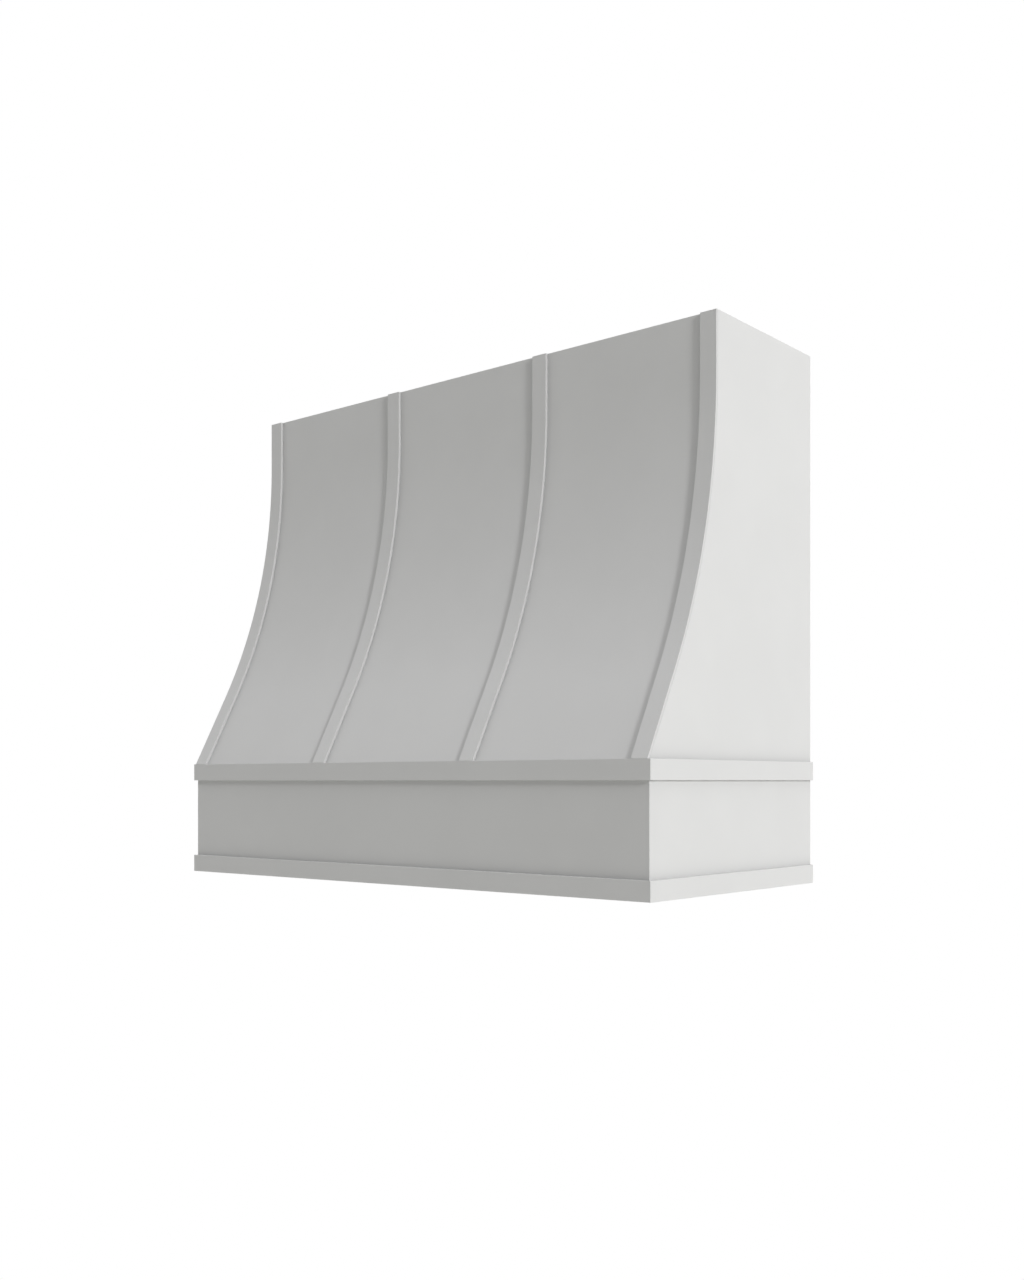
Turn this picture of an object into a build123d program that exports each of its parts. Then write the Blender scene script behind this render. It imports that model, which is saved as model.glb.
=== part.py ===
from build123d import *
import os
from math import atan2, cos, radians, sin, tan

# Wooden range hood cover with a swept front, four straps and two bands.
# Millimetres. X runs along the wall, the wall is the plane Y = 0 and the front faces -Y,
# Z is up. The origin is the middle of the back's bottom edge.

os.makedirs("parts", exist_ok=True)

# ---------------------------------------------------------------- driving dimensions
# Overall
body_width = 1066.8        # over the side panels
height = 914.4
apron_depth = 495.3        # wall to the apron's face
top_depth = 304.8          # wall to the skin's face at the top
base_height = 209.55       # bottom edge to the top of the upper band

# Sweep of the front
plumb_height = 92.5        # upright stretch at the top
flare_length = 148.0       # straight stretch above the upper band, along its slope

# Trim
strap_width = 30.2
strap_thickness = 5.2
band_height = 31.75
band_thickness = 5.2
arris = 0.5                # corner planed off the trim's front edges

# Boards
side_thickness = 19.0
apron_thickness = 19.0
skin_thickness = 6.4
rib_thickness = 19.0
rib_depth = 75.0
rail_thickness = 19.0
top_front_rail_height = 70.0
back_rail_height = 89.0
stretcher_thickness = 19.0
stretcher_depth = 85.0
block_leg = 38.0           # corner blocks, along each of the boards they glue

# Joints
side_lip = 6.0             # what the rebate for skin and apron leaves of the side panel
housing_depth = 6.0        # housing of the stretcher's ends in the side panels

# Shelf for the ventilator insert
cleat_bottom = 38.0
cleat_height = 38.0
cleat_thickness = 19.0
shelf_thickness = 18.0
shelf_clearance = 1.0      # all round the shelf, so that it drops in
cutout_width = 873.0
cutout_depth = 286.0
cutout_corner = 10.0
insert_hole_radius = 1.5
insert_hole_pitch_x = 800.0
insert_hole_margin = 15.0  # from the cut-out's edge to the insert's screws

# Screws
screw_length = 32.0
screw_radius = 2.0
screw_tip = 4.0            # length of the point
screw_point = 0.4          # radius of the point's end
screw_sides = 6
screw_clearance = 0.1      # all round the shank and the sunk head
sunk_head_radius = 4.0
pan_head_radius = 4.2
pan_head_height = 2.5
cleat_screw_margin = 60.0  # from a side cleat's end to its first screw
side_cleat_screws = 3
long_cleat_margin = 100.0  # the same on the front and back cleats
long_cleat_screws = 4
rib_screw_margin = 18.0    # from the front rail's edge, or the rib's foot, to a rib's screw
rib_foot_pitch = 31.0      # between the two screws in a rib's foot
stud_pitch = 406.4
wall_screws = 3            # in each back rail, one to a stud
wall_hole_radius = 2.75

# Pocket holes
pocket_slope = 15.0        # degrees from the board's face
pocket_radius = 4.75
pocket_seat = 18.0         # from the head's seat to the board's end, along the screw
pocket_length = 70.0       # drilled back from the seat, until it has left the board
pocket_edge = 20.0         # from a rail's edge to the pocket screw beside it

# ---------------------------------------------------------------- derived places
half_width = body_width / 2
inner_half = half_width - side_thickness
lip_half = half_width - side_lip
apron_back = apron_thickness - apron_depth
skin_front = strap_thickness
skin_back = strap_thickness + skin_thickness
rail_front = skin_back - top_depth - strap_thickness
rail_back = rail_front + rail_thickness
stretcher_bottom = base_height - stretcher_thickness
shelf_bottom = cleat_bottom + cleat_height
shelf_top = shelf_bottom + shelf_thickness
cleat_middle = cleat_bottom + cleat_height / 2
bay_middle = (apron_back - rail_thickness) / 2
stud_span = (wall_screws - 1) * stud_pitch
third_line = body_width / 6    # the inner straps and the ribs stand where the thirds meet

# The sweep is set out on the straps' face. It lands flush with the upper band's face, and
# its arc touches the flare and the plumb stretch. The arc's two tangents are equally long,
# which gives the knee where the flare's line would meet the plumb line.
foot_y = -apron_depth - band_thickness
crown_y = -top_depth - strap_thickness
arc_top = height - plumb_height
sweep_run = crown_y - foot_y
sweep_rise = arc_top - base_height
arc_tangent = (sweep_rise**2 + sweep_run**2 - flare_length**2) / (2 * (sweep_rise + flare_length))
flare_angle = atan2(sweep_run, sweep_rise - arc_tangent)
sweep_radius = arc_tangent / tan(flare_angle / 2)


# ---------------------------------------------------------------- the sweep
def flare_y(inset, z):
    """Y of the flare at a height, at an inset behind the straps' face."""
    return foot_y + inset / cos(flare_angle) + (z - base_height) * tan(flare_angle)


def flare_z(inset, y):
    """Height at which the flare, at an inset, crosses a depth."""
    return base_height + (y - flare_y(inset, base_height)) / tan(flare_angle)


def arc_point(inset, slope):
    """Point of the arc where it leans from plumb by the slope, in radians."""
    radius = sweep_radius + inset
    return crown_y - sweep_radius + radius * cos(slope), arc_top - radius * sin(slope)


def sweep_line(inset):
    """Draws flare, arc and plumb stretch at an inset, and returns both ends."""
    low = (flare_y(inset, base_height), base_height)
    high = (crown_y + inset, height)
    Line(low, arc_point(inset, flare_angle))
    ThreePointArc(arc_point(inset, flare_angle), arc_point(inset, flare_angle / 2), arc_point(inset, 0))
    Line(arc_point(inset, 0), high)
    return low, high


def swept_section(front_inset, back_inset, x):
    """Section of a layer that follows the sweep, on the plane at x."""
    with BuildSketch(Plane.YZ.offset(x)) as section:
        with BuildLine():
            front_low, front_high = sweep_line(front_inset)
            back_low, back_high = sweep_line(back_inset)
            Line(front_low, back_low)
            Line(front_high, back_high)
        make_face()
    return section.sketch


def apron_section(x):
    """Section of the apron board. Its top edge is rebated at the flare's slope for the skin."""
    with BuildSketch(Plane.YZ.offset(x)) as section:
        with BuildLine():
            Polyline(
                (-apron_depth, 0),
                (-apron_depth, base_height),
                (flare_y(skin_back, base_height), base_height),
                (apron_back, flare_z(skin_back, apron_back)),
                (apron_back, 0),
                close=True,
            )
        make_face()
    return section.sketch


def write(piece, name):
    """Labels a finished piece and writes its file."""
    piece.part.label = name
    export_step(piece.part, f"parts/{name}.step")


# ---------------------------------------------------------------- where the screws go
def spread(count, span):
    """Evenly spaced places over a span, about its middle."""
    return [span * (index / (count - 1) - 0.5) for index in range(count)]


def between(places):
    """The middles of the gaps between places in a row."""
    return [(low + high) / 2 for low, high in zip(places, places[1:])]


def pocket_seats(rail_middle, opening, heights):
    """Head seats of the pocket screws at both ends of a rail, facing out of the pockets.

    The pockets open on the rail's +Y face where opening is 1, and on its -Y face at -1.
    """
    slope = radians(pocket_slope)
    seats = []
    for end in (-1, 1):
        along = Vector(end * cos(slope), -opening * sin(slope), 0)
        for z in heights:
            leaves_rail = Vector(end * inner_half, rail_middle, z)
            seats.append(Plane(leaves_rail - along * pocket_seat, z_dir=-along))
    return seats


def at_end(planes, end):
    """The planes on the right-hand half where end is 1, and on the left-hand half at -1."""
    return [plane for plane in planes if plane.origin.X * end > 0]


top_front_seats = pocket_seats(
    (rail_front + rail_back) / 2, 1, (height - pocket_edge, height - top_front_rail_height + pocket_edge)
)
top_back_seats = pocket_seats(
    -rail_thickness / 2, -1, (height - pocket_edge, height - back_rail_height + pocket_edge)
)
lower_back_seats = pocket_seats(-rail_thickness / 2, -1, (pocket_edge, back_rail_height - pocket_edge))
pocket_planes = top_front_seats + top_back_seats + lower_back_seats

# Cleats: the screws of the side cleats run outwards, those of the long ones to front and back.
side_places = spread(side_cleat_screws, -apron_back - rail_thickness - 2 * cleat_screw_margin)
long_places = spread(long_cleat_screws, 2 * (inner_half - cleat_thickness - long_cleat_margin))
side_cleat_planes = [
    Plane((end * (inner_half - cleat_thickness), bay_middle + y, cleat_middle), z_dir=(-end, 0, 0))
    for end in (-1, 1)
    for y in side_places
]
front_cleat_planes = [
    Plane((x, apron_back + cleat_thickness, cleat_middle), z_dir=(0, 1, 0)) for x in long_places
]
back_cleat_planes = [
    Plane((x, -rail_thickness - cleat_thickness, cleat_middle), z_dir=(0, -1, 0)) for x in long_places
]
cleat_planes = side_cleat_planes + front_cleat_planes + back_cleat_planes

# The shelf's screws go down into the middle of each cleat, between the cleat's own screws.
side_shelf_planes = [
    Plane((end * (inner_half - cleat_thickness / 2), bay_middle + y, shelf_top), z_dir=(0, 0, 1))
    for end in (-1, 1)
    for y in between(side_places)
]
front_shelf_planes = [
    Plane((x, apron_back + cleat_thickness / 2, shelf_top), z_dir=(0, 0, 1)) for x in between(long_places)
]
back_shelf_planes = [
    Plane((x, -rail_thickness - cleat_thickness / 2, shelf_top), z_dir=(0, 0, 1))
    for x in between(long_places)
]
shelf_planes = side_shelf_planes + front_shelf_planes + back_shelf_planes

# Each rib is screwed through the front rail into its top, and through the stretcher into its foot.
rib_top_planes = [
    Plane((x, rail_front, z), z_dir=(0, -1, 0))
    for x in (-third_line, third_line)
    for z in (height - rib_screw_margin, height - top_front_rail_height + rib_screw_margin)
]
rib_foot_planes = [
    Plane((x, y, stretcher_bottom), z_dir=(0, 0, -1))
    for x in (-third_line, third_line)
    for y in (apron_back + rib_screw_margin, apron_back + rib_screw_margin + rib_foot_pitch)
]
rib_planes = rib_top_planes + rib_foot_planes


# ---------------------------------------------------------------- the screws and what they cut
# Screws and the holes that they bite are faceted alike, so that so many stay light.
def ring(radius, z):
    """Outline of a screw across its axis, at a height."""
    with BuildSketch(Plane.XY.offset(z)) as outline:
        RegularPolygon(radius, screw_sides)
    return outline.sketch


def make_screw(head, play=0):
    """A screw along -Z from its head's seat, grown by the play all round."""
    shank = [
        ring(screw_radius + play, 0),
        ring(screw_radius + play, screw_tip - screw_length),
        ring(screw_point + play, -screw_length - play),
    ]
    with BuildPart() as screw:
        loft(shank, ruled=True)
        loft(head, ruled=True)
    return screw.part


def sunk_head(play=0):
    """Outlines of a cone-shaped head that is flush with Z = 0."""
    return [ring(sunk_head_radius + play, 0), ring(screw_radius + play, screw_radius - sunk_head_radius)]


pan_head = [ring(pan_head_radius, 0), ring(pan_head_radius, pan_head_height)]
pan_cutter = make_screw(pan_head, screw_clearance)
sunk_cutter = make_screw(sunk_head(screw_clearance), screw_clearance)


def cut_for_screws(planes, cutter=sunk_cutter):
    """Cuts the holes of the screws whose heads sit on the planes."""
    with Locations(*planes):
        add(cutter, mode=Mode.SUBTRACT)


def cut_pockets(seats):
    """Sloping holes, bored from beyond the board's face down to each head's seat."""
    with Locations(*[seat.offset(pocket_length) for seat in seats]):
        Hole(pocket_radius, depth=pocket_length)
    cut_for_screws(seats, pan_cutter)


# ---------------------------------------------------------------- side panels
stretcher_housing = Box(
    housing_depth,
    stretcher_depth,
    stretcher_thickness,
    align=(Align.MIN, Align.MIN, Align.MAX),
)

with BuildPart() as right_side_panel:
    with BuildSketch(Plane.YZ.offset(inner_half)):
        with BuildLine():
            sweep_foot, sweep_top = sweep_line(skin_front)
            Polyline(sweep_top, (0, height), (0, 0), (-apron_depth, 0), (-apron_depth, base_height), sweep_foot)
        make_face()
    extrude(amount=side_thickness)
    # rebate for the skin's and the apron board's ends
    extrude(swept_section(skin_front, skin_back, inner_half), amount=lip_half - inner_half, mode=Mode.SUBTRACT)
    extrude(apron_section(inner_half), amount=lip_half - inner_half, mode=Mode.SUBTRACT)
    with Locations((inner_half, apron_back, base_height)):
        add(stretcher_housing, mode=Mode.SUBTRACT)
    cut_for_screws(at_end(pocket_planes, 1), pan_cutter)
    cut_for_screws(at_end(side_cleat_planes, 1))
write(right_side_panel, "right_side_panel")

with BuildPart() as left_side_panel:
    mirror(right_side_panel.part, about=Plane.YZ)
write(left_side_panel, "left_side_panel")

# ---------------------------------------------------------------- swept skin
with BuildPart() as swept_skin:
    extrude(swept_section(skin_front, skin_back, -lip_half), amount=2 * lip_half)
write(swept_skin, "swept_skin")

# ---------------------------------------------------------------- apron board
with BuildPart() as apron_board:
    extrude(apron_section(-lip_half), amount=2 * lip_half)
    cut_for_screws(front_cleat_planes)
write(apron_board, "apron_board")

# ---------------------------------------------------------------- frame behind the front
with BuildPart() as base_stretcher:
    with Locations((0, apron_back, base_height)):
        Box(
            2 * (inner_half + housing_depth),
            stretcher_depth,
            stretcher_thickness,
            align=(Align.CENTER, Align.MIN, Align.MAX),
        )
    cut_for_screws(rib_foot_planes)
write(base_stretcher, "base_stretcher")

front_rail_blank = Box(
    2 * inner_half,
    rail_thickness,
    top_front_rail_height,
    align=(Align.CENTER, Align.MIN, Align.MAX),
)

with BuildPart() as top_front_rail:
    with Locations((0, rail_front, height)):
        add(front_rail_blank)
    cut_pockets(top_front_seats)
    cut_for_screws(rib_top_planes)
write(top_front_rail, "top_front_rail")

# The ribs carry the skin. Each laps behind the front rail and is scribed round the apron's rebate.
for name, middle in (("left_rib", -third_line), ("right_rib", third_line)):
    rib_side = middle - rib_thickness / 2
    with BuildPart() as rib:
        extrude(swept_section(skin_back, skin_back + rib_depth, rib_side), amount=rib_thickness)
        extrude(apron_section(rib_side), amount=rib_thickness, mode=Mode.SUBTRACT)
        with Locations((0, rail_front, height)):
            add(front_rail_blank, mode=Mode.SUBTRACT)
        cut_for_screws([plane for plane in rib_planes if plane.origin.X == middle])
    write(rib, name)

# ---------------------------------------------------------------- back rails
def make_back_rail(bottom, seats, wall_height):
    """A rail that lies on the wall, with its pockets and the holes for the wall screws."""
    studs = [Plane((x, 0, wall_height), z_dir=(0, 1, 0)) for x in spread(wall_screws, stud_span)]
    with BuildPart() as rail:
        with Locations((0, 0, bottom)):
            Box(2 * inner_half, rail_thickness, back_rail_height, align=(Align.CENTER, Align.MAX, Align.MIN))
        cut_pockets(seats)
        with Locations(*studs):
            Hole(wall_hole_radius, depth=rail_thickness)
    return rail.part


with BuildPart() as top_back_rail:
    add(make_back_rail(height - back_rail_height, top_back_seats, height - back_rail_height / 2))
write(top_back_rail, "top_back_rail")

# The lower rail's wall screws go in below the cleat, where a driver still reaches them.
with BuildPart() as lower_back_rail:
    add(make_back_rail(0, lower_back_seats, cleat_bottom / 2))
    cut_for_screws(back_cleat_planes)
write(lower_back_rail, "lower_back_rail")

# ---------------------------------------------------------------- corner blocks
for name, end in (("left_corner_block", -1), ("right_corner_block", 1)):
    with BuildPart() as corner_block:
        with BuildSketch(Plane.XY.offset(shelf_top)):
            with BuildLine():
                Polyline(
                    (end * inner_half, apron_back),
                    (end * (inner_half - block_leg), apron_back),
                    (end * inner_half, apron_back + block_leg),
                    close=True,
                )
            make_face()
        extrude(amount=stretcher_bottom - shelf_top)
    write(corner_block, name)

# ---------------------------------------------------------------- shelf on its cleats
for name, end in (("left_cleat", -1), ("right_cleat", 1)):
    with BuildPart() as side_cleat:
        with Locations((end * (inner_half - cleat_thickness / 2), bay_middle, cleat_bottom)):
            Box(
                cleat_thickness,
                -apron_back - rail_thickness,
                cleat_height,
                align=(Align.CENTER, Align.CENTER, Align.MIN),
            )
        cut_for_screws(at_end(side_cleat_planes, end))
        cut_for_screws(at_end(side_shelf_planes, end))
    write(side_cleat, name)

for name, face, own_planes, planes_above in (
    ("front_cleat", apron_back + cleat_thickness, front_cleat_planes, front_shelf_planes),
    ("back_cleat", -rail_thickness, back_cleat_planes, back_shelf_planes),
):
    with BuildPart() as long_cleat:
        with Locations((0, face, cleat_bottom)):
            Box(
                2 * (inner_half - cleat_thickness),
                cleat_thickness,
                cleat_height,
                align=(Align.CENTER, Align.MAX, Align.MIN),
            )
        cut_for_screws(own_planes)
        cut_for_screws(planes_above)
    write(long_cleat, name)

with BuildPart() as insert_shelf:
    with BuildSketch(Plane.XY.offset(shelf_bottom)):
        with Locations((0, bay_middle)):
            Rectangle(2 * (inner_half - shelf_clearance), -apron_back - rail_thickness - 2 * shelf_clearance)
            RectangleRounded(cutout_width, cutout_depth, cutout_corner, mode=Mode.SUBTRACT)
    extrude(amount=shelf_thickness)
    cut_for_screws(shelf_planes)
    with Locations((0, bay_middle, shelf_top)):
        with GridLocations(insert_hole_pitch_x, cutout_depth + 2 * insert_hole_margin, 2, 2):
            Hole(insert_hole_radius, depth=shelf_thickness)
write(insert_shelf, "insert_shelf")

# ---------------------------------------------------------------- bands, mitred at the front corners
outer_half = half_width + band_thickness
outer_front = -apron_depth - band_thickness

for level, band_top in (("upper", base_height), ("lower", band_height)):
    band_plane = Plane.XY.offset(band_top - band_height)
    with BuildPart() as front_band:
        with BuildSketch(band_plane):
            with BuildLine():
                Polyline(
                    (-half_width, -apron_depth),
                    (-outer_half, outer_front),
                    (outer_half, outer_front),
                    (half_width, -apron_depth),
                    close=True,
                )
            make_face()
        extrude(amount=band_height)
        shown = front_band.faces().sort_by(Axis.Y)[0]
        chamfer(shown.edges().filter_by(Axis.X), length=arris)
    write(front_band, f"{level}_band_front")

    with BuildPart() as right_band:
        with BuildSketch(band_plane):
            with BuildLine():
                Polyline(
                    (half_width, 0),
                    (half_width, -apron_depth),
                    (outer_half, outer_front),
                    (outer_half, 0),
                    close=True,
                )
            make_face()
        extrude(amount=band_height)
        shown = right_band.faces().sort_by(Axis.X)[-1]
        chamfer(shown.edges().filter_by(Axis.Y), length=arris)
    write(right_band, f"{level}_band_right")

    with BuildPart() as left_band:
        mirror(right_band.part, about=Plane.YZ)
    write(left_band, f"{level}_band_left")

# ---------------------------------------------------------------- straps
def faces_room(face):
    """True for a face that looks to the front more than to a side, up or down."""
    normal = face.normal_at()
    return -normal.Y > max(abs(normal.X), abs(normal.Z))


for name, strap_left in (
    ("left_end_strap", -half_width),
    ("left_inner_strap", -third_line - strap_width / 2),
    ("right_inner_strap", third_line - strap_width / 2),
    ("right_end_strap", half_width - strap_width),
):
    with BuildPart() as strap:
        extrude(swept_section(0, skin_front, strap_left), amount=strap_width)
        shown = strap.faces().filter_by(faces_room)
        chamfer(shown.edges().filter_by(Axis.X, reverse=True), length=arris)
    write(strap, name)

# ---------------------------------------------------------------- screws
for name, screw, planes in (
    ("pocket_screws", make_screw(pan_head), pocket_planes),
    ("cleat_screws", make_screw(sunk_head()), cleat_planes),
    ("shelf_screws", make_screw(sunk_head()), shelf_planes),
    ("rib_screws", make_screw(sunk_head()), rib_planes),
):
    with BuildPart() as screws:
        with Locations(*planes):
            add(screw)
    write(screws, name)
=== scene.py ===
# %% [markdown]
# # A painted wooden range hood cover
# The real object is a joiner's box that hangs on a kitchen wall over the cooker. Its front is
# bent: it falls plumb from the top, sweeps out along an arc and ends in a straight flare. Four
# straps are bent over that front, and a plain apron with a band at its top and its foot closes
# the bottom. Outside it is sprayed in a satin off-white. Inside it is left as raw wood.
# The construction comes in finished, as a fixed frame of separate pieces at their real size.
# This lesson dresses it: finishes first, then the bent pieces and the screws, then light.

# %% Load the frame
from math import atan2, cos, pi, radians, sin, tan

import bmesh
import bpy
import numpy as np
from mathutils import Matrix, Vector


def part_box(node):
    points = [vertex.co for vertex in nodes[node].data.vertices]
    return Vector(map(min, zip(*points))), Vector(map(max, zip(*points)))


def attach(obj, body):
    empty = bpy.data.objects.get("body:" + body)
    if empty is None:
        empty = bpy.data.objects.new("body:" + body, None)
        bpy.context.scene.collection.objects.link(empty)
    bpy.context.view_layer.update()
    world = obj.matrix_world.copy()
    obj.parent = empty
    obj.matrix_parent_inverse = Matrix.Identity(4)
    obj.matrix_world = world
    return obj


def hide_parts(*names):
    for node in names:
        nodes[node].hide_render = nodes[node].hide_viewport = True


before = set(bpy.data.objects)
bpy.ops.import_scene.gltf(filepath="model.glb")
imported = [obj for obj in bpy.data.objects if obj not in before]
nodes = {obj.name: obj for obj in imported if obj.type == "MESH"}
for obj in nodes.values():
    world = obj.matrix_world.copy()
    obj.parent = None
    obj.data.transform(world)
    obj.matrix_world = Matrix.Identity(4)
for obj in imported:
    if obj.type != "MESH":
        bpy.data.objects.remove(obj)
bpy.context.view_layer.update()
print("pieces in the frame:", len(nodes))

# %% [markdown]
# ## Sizes
# Everything is in metres, and a joiner thinks in millimetres, so sizes are written as a number
# of `MM`. Most are read from the frame, so that a finish or a screw follows the piece it is on.
# Only three sizes of the sweep can't be seen in a box, and they are given here by name. The
# arris is the small soft edge that sandpaper leaves.

# %% Sizes that the pieces share
MM = 0.001
strap_low, strap_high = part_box("right_end_strap")
apron_low, apron_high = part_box("apron_board")
side_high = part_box("right_side_panel")[1]
rail_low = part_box("top_front_rail")[0]

strap_thickness = 5.2 * MM
plumb_height = 92.5 * MM
flare_length = 148.0 * MM
arris = 0.5 * MM

top = side_high.z
base = strap_low.z
skin_thickness = rail_low.y - strap_high.y
print("skin thickness in mm:", round(skin_thickness / MM, 2))

# %% [markdown]
# ## Writing nodes as sums
# A material is a small calculation: how far along the grain, how deep in the board, how much
# paint. Wired by hand it is a page of boxes. The class below wraps a socket, so that an ordinary
# Python sum adds the Math nodes for it. Numbers that meet only numbers stay in Python. The same
# class serves shader trees and geometry trees, because both know the same Math nodes.

# %% A socket that can be used in sums
class Value:
    """One socket of a node tree. A sum written with it adds the nodes that work it out."""

    def __init__(self, graph, socket):
        self.graph = graph
        self.socket = socket

    def math(self, operation, *terms):
        """The Math or Vector Math node for an operation on these terms."""
        sockets = [term.socket for term in terms if isinstance(term, Value)]
        is_vector = any(socket.type == "VECTOR" for socket in sockets)
        kind = "ShaderNodeVectorMath" if is_vector else "ShaderNodeMath"
        outputs = self.graph.add(kind, {"operation": operation}, dict(enumerate(terms)))
        return outputs["Vector" if is_vector else "Value"]

    def __add__(self, other):
        return self.math("ADD", self, other)

    def __radd__(self, other):
        return self.math("ADD", other, self)

    def __sub__(self, other):
        return self.math("SUBTRACT", self, other)

    def __rsub__(self, other):
        return self.math("SUBTRACT", other, self)

    def __mul__(self, other):
        return self.math("MULTIPLY", self, other)

    def __rmul__(self, other):
        return self.math("MULTIPLY", other, self)

    def __truediv__(self, other):
        return self.math("DIVIDE", self, other)

    def __abs__(self):
        return self.math("ABSOLUTE", self)

    def at_least(self, other):
        return self.math("MAXIMUM", self, other)

    def at_most(self, other):
        return self.math("MINIMUM", self, other)

    def of(self, operation):
        """A function of one number, such as its sine, its square root or its fraction."""
        return self.math(operation, self)

    def step(self, low, high):
        """0 below low, 1 above high, and a smooth ramp between them."""
        settings = {"interpolation_type": "SMOOTHSTEP"}
        sockets = {"Value": self, "From Min": low, "From Max": high}
        return self.graph.add("ShaderNodeMapRange", settings, sockets)["Result"]

    def parts(self):
        """The three parts of a vector."""
        outputs = self.graph.add("ShaderNodeSeparateXYZ", {}, {"Vector": self})
        return [outputs[axis] for axis in "XYZ"]


print("a Value knows:", ", ".join(name for name in vars(Value) if not name.startswith("_")))

# %% [markdown]
# Any other node comes from one method. It sets the node's own settings first, because they
# decide which sockets it has, and then gives each socket a plain value or a link.

# %% A tree that nodes are added to
class Graph:
    """A node tree, and the one way in which nodes are added to it."""

    def __init__(self, tree):
        self.tree = tree

    def add(self, kind, settings=None, inputs=None):
        """Add a node and return its outputs by name."""
        node = self.tree.nodes.new(kind)
        for name, value in (settings or {}).items():
            if name == "stops":
                self.set_stops(node.color_ramp, value)
            else:
                setattr(node, name, value)
        for name, value in (inputs or {}).items():
            self.feed(self.find(node.inputs, name), value)
        return {socket.name: Value(self, socket) for socket in node.outputs if socket.enabled}

    def find(self, sockets, name):
        """A socket by its number, or the first one in use that has this name."""
        if isinstance(name, int):
            return sockets[name]
        return next(socket for socket in sockets if socket.enabled and socket.name == name)

    def feed(self, socket, value):
        """Link a value to a socket, or several to one that takes several, or write a number."""
        if isinstance(value, Value):
            self.tree.links.new(value.socket, socket)
        elif isinstance(value, list):
            for item in value:
                self.tree.links.new(item.socket, socket)
        else:
            socket.default_value = value

    def set_stops(self, ramp, stops):
        """Give a colour ramp its stops."""
        while len(ramp.elements) < len(stops):
            ramp.elements.new(1.0)
        for element, (position, colour) in zip(ramp.elements, stops):
            element.position = position
            element.color = colour

    def noise(self, place, scale=1.0, detail=2.0):
        """A cloud of random values around 0.5, with `scale` lumps to each unit of the place."""
        sockets = {"Vector": place, "Scale": scale, "Detail": detail}
        return self.add("ShaderNodeTexNoise", {}, sockets)["Fac"]

    def blend(self, share, first, second):
        """Two colours mixed: the first where share is 0, the second where it is 1."""
        sockets = {"Factor": share, "A": first, "B": second}
        return self.add("ShaderNodeMix", {"data_type": "RGBA"}, sockets)["Result"]


print("a Graph knows:", ", ".join(name for name in vars(Graph) if not name.startswith("_")))

# %% [markdown]
# Colours are picked as a screen or a paint chart gives them, from 0 to 255. Light adds up in
# linear values, and those are what nodes take, so every colour passes through one function.

# %% Colours
def shade(red, green, blue):
    """A colour as a paint chart gives it, 0 to 255, as the linear values that nodes take."""
    linear = []
    for part in (red, green, blue):
        share = part / 255
        linear.append(share / 12.92 if share <= 0.04045 else ((share + 0.055) / 1.055) ** 2.4)
    return (*linear, 1.0)


print("a grey of 128 is", round(shade(128, 128, 128)[0], 3), "in linear light")

# %% [markdown]
# ## The sprayed paint
# The outside is sprayed, sanded and sprayed again, in a satin off-white. Such a coat is almost
# flat. What the eye still reads is orange peel, a shallow ripple a few millimetres across, a
# slight drift of tone where the coat is thicker, and a sheen that isn't the same everywhere.
# On the solid wood of the straps and bands the grain still shows through as faint lines.
# Along the foot of every raised edge the colour is painted darker: this is painted shade, for the
# shade that falls into an inner corner. It fades out over a finger's breadth, and it is what
# draws the straps and bands on a cover that is all one colour.
# The narrow sides of straps and bands rise out of such a corner, so they take half of that
# painted shade.
# Each finish below gives three things: a colour, a roughness, and a height in millimetres, which
# one Bump node turns into relief. Real heights keep the relief honest at any distance.
# A cloud of noise stays mostly between 0.3 and 0.7, so its ramps run over ranges such as that.

# %% Paint
paint_pale = shade(227, 227, 227)
paint_deep = shade(225, 225, 225)
# The corner colour, its reach and the share on narrow sides are painted shade: they darken the
# paint where shade falls in inner corners.
painted_corner_shade = shade(206, 206, 206)
painted_shade_reach = 8.0 * MM
painted_side_shade = 0.5
peel_width = 3.2 * MM
peel_height = 0.010
drift_width = 130 * MM
drift_range = (0.3, 0.7)
grain_length = 90 * MM
grain_width = 1.6 * MM
grain_in_paint = 0.006
satin = 0.36
drift_in_satin = 0.1
peel_in_satin = 0.04
axis_number = {"x": 0, "y": 1, "z": 2}


def stretched(place, along, length, width):
    """The place measured in lengths along the grain and in widths across it."""
    scale = [1 / width] * 3
    scale[axis_number[along]] = 1 / length
    return place * tuple(scale)


# This is the share of painted corner shade that the paint below mixes into its colour.
def nearness(place, steps):
    """1 at the foot of the nearest raised edge, fading with the distance from it.

    Each step is an axis and where on it the edge lies, the same on the left as on the right."""
    nearest = None
    for axis, position in steps:
        distance = abs(abs(place.parts()[axis_number[axis]]) - position)
        nearest = distance if nearest is None else nearest.at_most(distance)
    return (nearest * (-1 / painted_shade_reach)).of("EXPONENT")


def sprayed_paint(graph, place, along, grain_height, painted_shade):
    """Colour, roughness and height of the paint on a piece whose grain runs one way."""
    drift = graph.noise(place, 1 / drift_width)
    peel = graph.noise(place, 1 / peel_width, detail=1.0)
    lines = graph.noise(stretched(place, along, grain_length, grain_width))
    even = graph.blend(drift.step(*drift_range), paint_deep, paint_pale)
    # Painted shade: the colour darkens towards the corner colour where the share is high.
    colour = graph.blend(painted_shade, even, painted_corner_shade)
    roughness = satin + drift * drift_in_satin + peel * peel_in_satin
    height = peel * peel_height + lines * grain_height
    return colour, roughness, height


print("paint: orange peel", peel_width / MM, "mm across and", peel_height * 1000, "microns high")

# %% [markdown]
# ## Raw birch plywood
# The sides, the apron, the rails and the shelf are cut from birch plywood. Its face is a veneer
# peeled off the log as paper comes off a roll. The knife crosses each yearly ring at a low angle,
# so the rings show as wide wandering contours, like heights on a map. A slow noise stands for
# that map, and the fraction of its height draws the contours. Fine fibres, a satin mottle and
# short dark pores lie over them. A share says how strongly a layer shows.

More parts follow.
